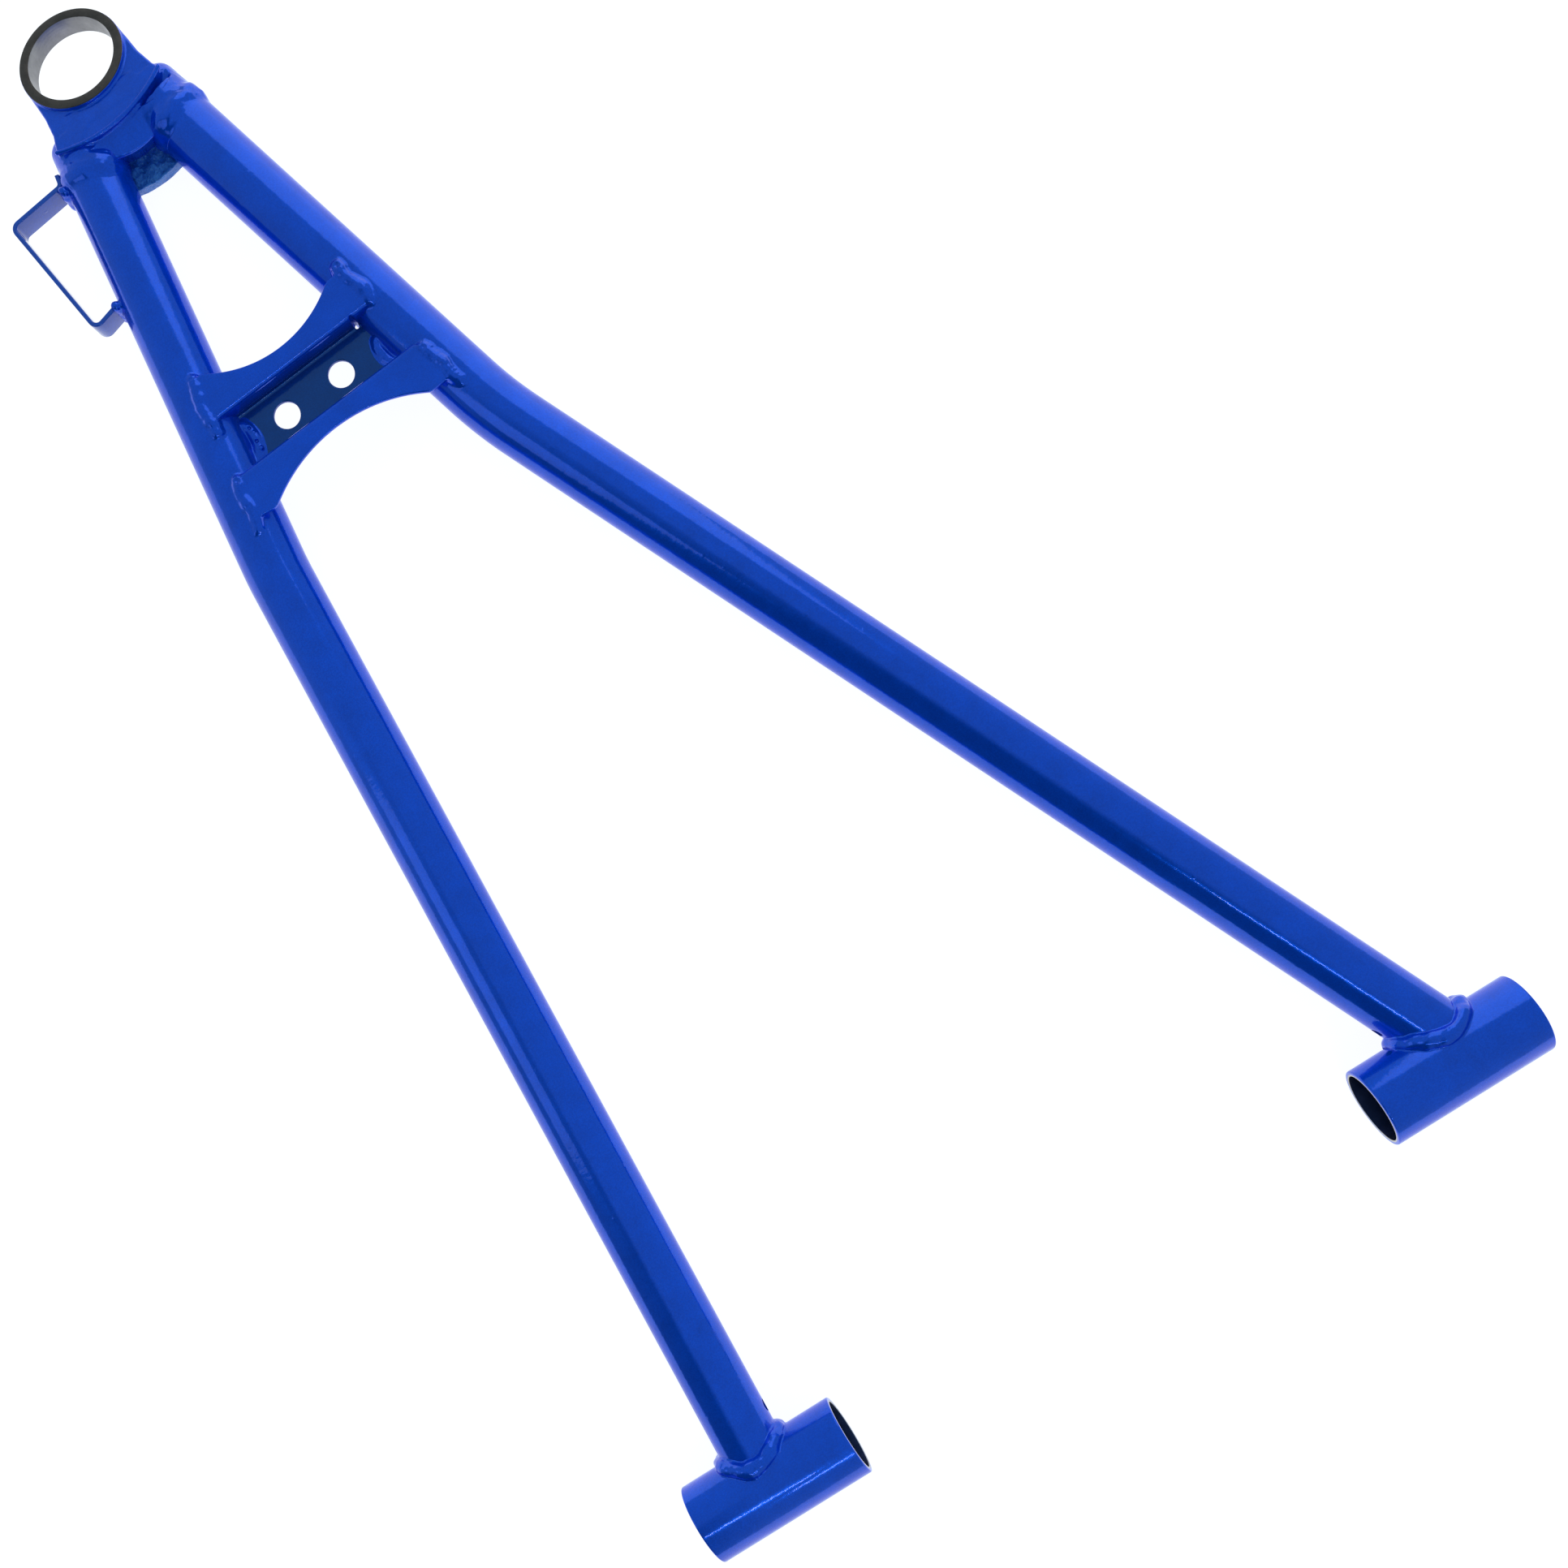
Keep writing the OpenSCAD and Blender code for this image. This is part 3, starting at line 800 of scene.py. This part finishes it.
def powder_coat(name, deep, light, rough, orange, pits, cast=0.0, trough_shade=None, metallic=0.47, coat=0.5):
    """Glossy blue powder coat: a metallic base with mottling, orange peel, specks and a clear top coat, and,
    where a trough colour is given, painted shade that darkens the colour lower down in the trough.
    """
    mat, nt, bsdf = tree(name)
    mottle = mapped_noise(nt, 90.0, 4.0, 0.6)
    colour = ramp(nt, mottle.outputs["Fac"], [(0.3, deep), (0.7, light)]).outputs["Color"]
    flake = mapped_noise(nt, 1500.0, 1.0)
    glint = ramp(nt, flake.outputs["Fac"], [(0.3, (0.86, 0.86, 0.86)), (0.7, (1.08, 1.08, 1.08))])
    colour = mixed(nt, "MULTIPLY", 1.0, colour, glint.outputs["Color"])
    if trough_shade:
        # Painted shade: from 10.5 mm height down to 4.8 mm the colour is multiplied towards the trough
        # colour, fully on the web.
        coord = node(nt, "ShaderNodeTexCoord")
        split = nt.nodes.new("ShaderNodeSeparateXYZ")
        nt.links.new(coord.outputs["Object"], split.inputs["Vector"])
        height = share_between(nt, split.outputs["Z"], 0.0048, 0.0105)
        shade = ramp(nt, height, [(0.0, trough_shade), (1.0, (1.0, 1.0, 1.0))])
        colour = mixed(nt, "MULTIPLY", 1.0, colour, shade.outputs["Color"])
    nt.links.new(colour, bsdf.inputs["Base Color"])
    bsdf.inputs["Metallic"].default_value = metallic
    bsdf.inputs["Specular Tint"].default_value = (0.1, 0.35, 1.0, 1.0)
    haze = mapped_noise(nt, 240.0, 2.0)
    spread = node(nt, "ShaderNodeMapRange")
    spread.inputs["To Min"].default_value = rough - 0.04
    spread.inputs["To Max"].default_value = rough + 0.04
    nt.links.new(haze.outputs["Fac"], spread.inputs["Value"])
    nt.links.new(spread.outputs["Result"], bsdf.inputs["Roughness"])
    bsdf.inputs["Coat Weight"].default_value = coat
    bsdf.inputs["Coat Roughness"].default_value = 0.04
    bsdf.inputs["Coat IOR"].default_value = 1.5
    peel = mapped_noise(nt, 420.0, 2.0)
    last = bump(nt, peel.outputs["Fac"], orange, 0.0006)
    slow = mapped_noise(nt, 55.0, 2.0)
    last = bump(nt, slow.outputs["Fac"], orange * 1.2, 0.002, last)
    if pits:
        coord = node(nt, "ShaderNodeTexCoord")
        cells = node(nt, "ShaderNodeTexVoronoi", Scale=95.0)
        nt.links.new(coord.outputs["Object"], cells.inputs["Vector"])
        stops = [(0.0, (1, 1, 1)), (0.06, (0.9, 0.9, 0.9)), (0.11, (0, 0, 0))]
        dots = ramp(nt, cells.outputs["Distance"], stops)
        last = bump(nt, dots.outputs["Color"], pits, 0.0008, last)
    if cast:
        grain = mapped_noise(nt, 900.0, 4.0, 0.7)
        last = bump(nt, grain.outputs["Fac"], cast, 0.0012, last)
    nt.links.new(last.outputs["Normal"], bsdf.inputs["Normal"])
    nt.links.new(last.outputs["Normal"], bsdf.inputs["Coat Normal"])
    return mat


def machined_steel(name, dark, light, rough, turning):
    """Bare steel with light stains, and turning marks around the ring's axis."""
    mat, nt, bsdf = tree(name)
    coord = node(nt, "ShaderNodeTexCoord")
    centred = node(nt, "ShaderNodeMapping")
    centred.inputs["Location"].default_value = tuple(-RING_TOP * 0.001)
    nt.links.new(coord.outputs["Object"], centred.inputs["Vector"])
    wave = node(nt, "ShaderNodeTexWave", Scale=900.0, Distortion=1.5, Detail=2.0)
    wave.wave_type, wave.rings_direction = "RINGS", "Z"
    nt.links.new(centred.outputs["Vector"], wave.inputs["Vector"])
    stain = mapped_noise(nt, 160.0, 5.0, 0.65)
    colour = ramp(nt, stain.outputs["Fac"], [(0.25, dark), (0.75, light)])
    nt.links.new(colour.outputs["Color"], bsdf.inputs["Base Color"])
    bsdf.inputs["Metallic"].default_value = 0.85
    bsdf.inputs["Roughness"].default_value = rough
    turned = bump(nt, wave.outputs["Fac"], turning, 0.0002)
    nt.links.new(turned.outputs["Normal"], bsdf.inputs["Normal"])
    return mat


BLUE_DEEP, BLUE_LIGHT = (0.0, 0.070, 0.62), (0.0, 0.084, 0.74)
TUBE_PAINT = powder_coat("paint_on_tube", BLUE_DEEP, BLUE_LIGHT, 0.17, 0.06, 0.06)
WELD_PAINT = powder_coat("paint_on_weld", BLUE_DEEP, BLUE_LIGHT, 0.17, 0.08, 0.12)
FORGED_PAINT = powder_coat("paint_on_forging", BLUE_DEEP, BLUE_LIGHT, 0.20, 0.08, 0.15)
CAST_PAINT = powder_coat("paint_on_casting", (0.0, 0.09, 0.38), (0.05, 0.22, 0.62), 0.28, 0.12, 0.3,
                         cast=0.5, metallic=0.3)
# The sheet's trough colour is painted shade in the channel's trough.
SHEET_PAINT = powder_coat("paint_on_sheet", BLUE_DEEP, BLUE_LIGHT, 0.17, 0.05, 0.1, trough_shade=(1.0, 0.62, 0.36))
STRAP_PAINT = powder_coat("paint_on_strap", (0.0, 0.05, 0.42), (0.0, 0.07, 0.52), 0.25, 0.08, 0.15,
                          metallic=0.1, coat=1.0)
FACED = machined_steel("faced_steel", (0.062, 0.046, 0.040), (0.108, 0.080, 0.070), 0.45, 0.2)
HONED = machined_steel("honed_steel", (0.36, 0.36, 0.38), (0.50, 0.50, 0.52), 0.28, 0.05)
BORED = machined_steel("bored_steel", (0.20, 0.20, 0.21), (0.31, 0.31, 0.32), 0.33, 0.05)
# Painted shade: the sleeve bores' steel is given a near-black blue, standing in for the shade inside the
# sleeves.
BORE_SHADE = machined_steel("bore_painted_shade", (0.012, 0.022, 0.070), (0.03, 0.045, 0.13), 0.35, 0.1)


def place(ob, material, node_name):
    """Puts a piece on the one body, in the stead of its CAD node if it has one."""
    ob.data.materials.clear()
    ob.data.materials.append(material)
    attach(ob, "root")
    if node_name:
        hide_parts(node_name)
    return ob


def repaint(ob, material, chosen):
    """Gives the faces whose centres are chosen another material."""
    ob.data.materials.append(material)
    k = len(ob.data.materials) - 1
    for face in ob.data.polygons:
        if chosen(np.array(face.center) * 1000):
            face.material_index = k


def bore_radius(c):
    x, y, _ = ring_frame(c)
    return math.hypot(x, y)


def sleeve_radius(c):
    return math.hypot(c[1], c[2])


def place_weld(ob, where):
    place(ob, WELD_PAINT, "weld_" + where)


# ---------------------------------------------------------------- the pieces
place(leg_tube("rear_leg", REAR, 1), TUBE_PAINT, "rear_leg_tube")
place(leg_tube("front_leg", FRONT, -1), TUBE_PAINT, "front_leg_tube")
for end, sleeve_x in (("rear", 0.0), ("front", SPAN)):
    sleeve = pivot_sleeve(end + "_sleeve", sleeve_x)
    place(sleeve, TUBE_PAINT, end + "_pivot_sleeve")
    # The sleeve bore faces get the near-black painted-shade steel.
    repaint(sleeve, BORE_SHADE, lambda c: sleeve_radius(c) < SLEEVE_BORE + 0.05)
    repaint(sleeve, HONED, lambda c: SLEEVE_BORE + 0.05 <= sleeve_radius(c) < SLEEVE_BORE + 0.75)

REAR_LAPS = [(1.0, 0.3, 0.7), (1.75, 0.25, 0.9), (2.5, 0.3, 0.5), (-1.8, 0.5, 0.5)]
FRONT_LAPS = [(2.1, 0.5, 0.9), (1.45, 0.2, 0.5), (0.6, 0.3, 0.3), (-1.4, 0.5, 0.5)]
place_weld(sleeve_weld("rear_sleeve_weld", REAR, 0.0, 21, REAR_LAPS), "rear_leg_to_sleeve")
place_weld(sleeve_weld("front_sleeve_weld", FRONT, SPAN, 22, FRONT_LAPS), "front_leg_to_sleeve")

housing = skin("housing_forging", housing_field, [40, 634, -16], [120, 714, 20], 0.5)
place(housing, FORGED_PAINT, "ball_joint_housing")
facing = place(ring_facing(), FACED, None)
repaint(facing, BORED, lambda c: bore_radius(c) < JOINT_R + 0.06)
gusset = skin("crotch_cast", gusset_field, [60, 616, -12], [102, 643, 0], 0.3)
place(gusset, CAST_PAINT, "crotch_gusset")
channel = skin("channel_pressing", channel_field, [30, 464, -1], [148, 542, 18], 0.45)
place(channel, SHEET_PAINT, "cross_channel")
place(hose_loop(), STRAP_PAINT, "hose_loop")

FRONT_LOBES = [(2.3, 0.5, 0.9), (0.4, 0.35, 0.7)]
REAR_LOBES = [(0.8, 0.45, 1.1), (2.6, 0.4, 0.6)]
place_weld(housing_weld("front_housing_weld", FRONT, 1, FRONT_LOBES), "front_leg_to_housing")
place_weld(housing_weld("rear_housing_weld", REAR, 2, REAR_LOBES), "rear_leg_to_housing")
FLANGE_WELDS = [
    ("a", FRONT, -1, 541, 522, [(0.1, 3.0, 0.7), (0.7, 3.0, 0.4)], "outboard_flange_front"),
    ("b", REAR, 1, 536, 511, [(0.3, 4.0, 0.5), (0.8, 3.0, 0.4)], "outboard_flange_rear"),
    ("c", FRONT, -1, 491, 471, [(0.1, 3.0, 0.6), (0.6, 4.0, 0.4)], "inboard_flange_front"),
    ("d", REAR, 1, 488, 466, [(0.1, 2.6, 0.6), (0.5, 4.0, 0.5)], "inboard_flange_rear"),
]
for seed, (letter, leg, near, y0, y1, lumps, where) in enumerate(FLANGE_WELDS, 31):
    place_weld(flange_weld("flange_weld_" + letter, leg, near, y0, y1, seed, lumps), where)
DROPLETS = [((3.0, 3.2, 0.9), 0.9), ((-1.0, 3.0, 1.3), -0.8),
            ((-4.5, 3.4, 0.9), 1.1), ((5.5, 2.4, 1.3), -0.7)]
place_weld(web_weld("web_weld_front", FRONT, -1, 7, -7, 41, []), "web_end_front")
place_weld(web_weld("web_weld_rear", REAR, 1, 8, -9, 42, DROPLETS), "web_end_rear")
place_weld(loop_weld("loop_weld_outboard", 637.6, 51, 2.5), "loop_outboard")
place_weld(loop_weld("loop_weld_inboard", 583.0, 52, 2.2), "loop_inboard")


# ---------------------------------------------------------------- stage, light and camera
def stage_floor():
    """A pale floor just under the part, which glows so that it renders white."""
    me = bpy.data.meshes.new("floor")
    z = cad_box[0][2] - 0.0006
    s = 6.0
    me.from_pydata([(-s, -s, z), (s, -s, z), (s, s, z), (-s, s, z)], [], [(0, 1, 2, 3)])
    ob = bpy.data.objects.new("floor", me)
    bpy.context.scene.collection.objects.link(ob)
    mat, nt, bsdf = tree("floor_white")
    bsdf.inputs["Base Color"].default_value = (0.3, 0.3, 0.3, 1)
    bsdf.inputs["Roughness"].default_value = 0.6
    bsdf.inputs["Emission Color"].default_value = (1, 1, 1, 1)
    bsdf.inputs["Emission Strength"].default_value = 0.93
    me.materials.append(mat)


def soft_light(name, at, to, size, watts):
    data = bpy.data.lights.new(name, "AREA")
    data.shape, data.size, data.size_y = "RECTANGLE", size[0], size[1]
    data.energy = watts
    ob = bpy.data.objects.new(name, data)
    ob.location = at
    ob.rotation_euler = (Vector(to) - Vector(at)).to_track_quat("-Z", "Y").to_euler()
    bpy.context.scene.collection.objects.link(ob)


def studio():
    """A room with pale walls and one dark corner towards -X and -Y, two soft boxes and two strips."""
    world = bpy.data.worlds.new("studio")
    bpy.context.scene.world = world
    world.use_nodes = True
    nt = world.node_tree
    back = nt.nodes["Background"]
    coord = nt.nodes.new("ShaderNodeTexCoord")
    split = nt.nodes.new("ShaderNodeSeparateXYZ")
    nt.links.new(coord.outputs["Generated"], split.inputs["Vector"])
    either = node(nt, "ShaderNodeMath")
    either.operation = "MAXIMUM"
    nt.links.new(share_between(nt, split.outputs["X"], -0.45, -0.2), either.inputs[0])
    nt.links.new(share_between(nt, split.outputs["Y"], -0.15, 0.3), either.inputs[1])
    shade = ramp(nt, either.outputs["Value"], [(0.0, (0.03, 0.05, 0.06)), (1.0, (0.36, 0.53, 0.60))])
    nt.links.new(shade.outputs["Color"], back.inputs["Color"])
    back.inputs["Strength"].default_value = 1.0
    soft_light("right_box", (1.1, 1.6, 0.7), (0.15, 0.4, 0.0), (1.2, 1.6), 4.8)
    soft_light("left_box", (-1.0, 0.47, 0.85), (0.1, 0.35, 0.0), (0.5, 0.8), 0.85)
    soft_light("strip", (-0.26, -0.50, 1.15), (0.0, 0.0, 0.0), (0.44, 0.035), 0.55)
    soft_light("near_strip", (0.02, -0.9, 1.1), (0.09, 0.5, 0.0), (0.4, 0.06), 0.6)


def camera():
    """Above the arm, close to square on, with the frame shifted so that the whole arm fits."""
    data = bpy.data.cameras.new("camera")
    data.sensor_fit, data.sensor_width, data.lens = "HORIZONTAL", 36.0, 41.80
    data.shift_x, data.shift_y = 0.0590, 0.1669
    data.clip_start, data.clip_end = 0.01, 50
    ob = bpy.data.objects.new("camera", data)
    ob.location = (0.1251, 0.1577, 0.7861)
    ob.rotation_euler = [math.radians(a) for a in (-0.908, 4.121, -32.781)]
    bpy.context.scene.collection.objects.link(ob)
    bpy.context.scene.camera = ob


stage_floor()
studio()
camera()
bpy.context.scene.view_settings.view_transform = "Standard"
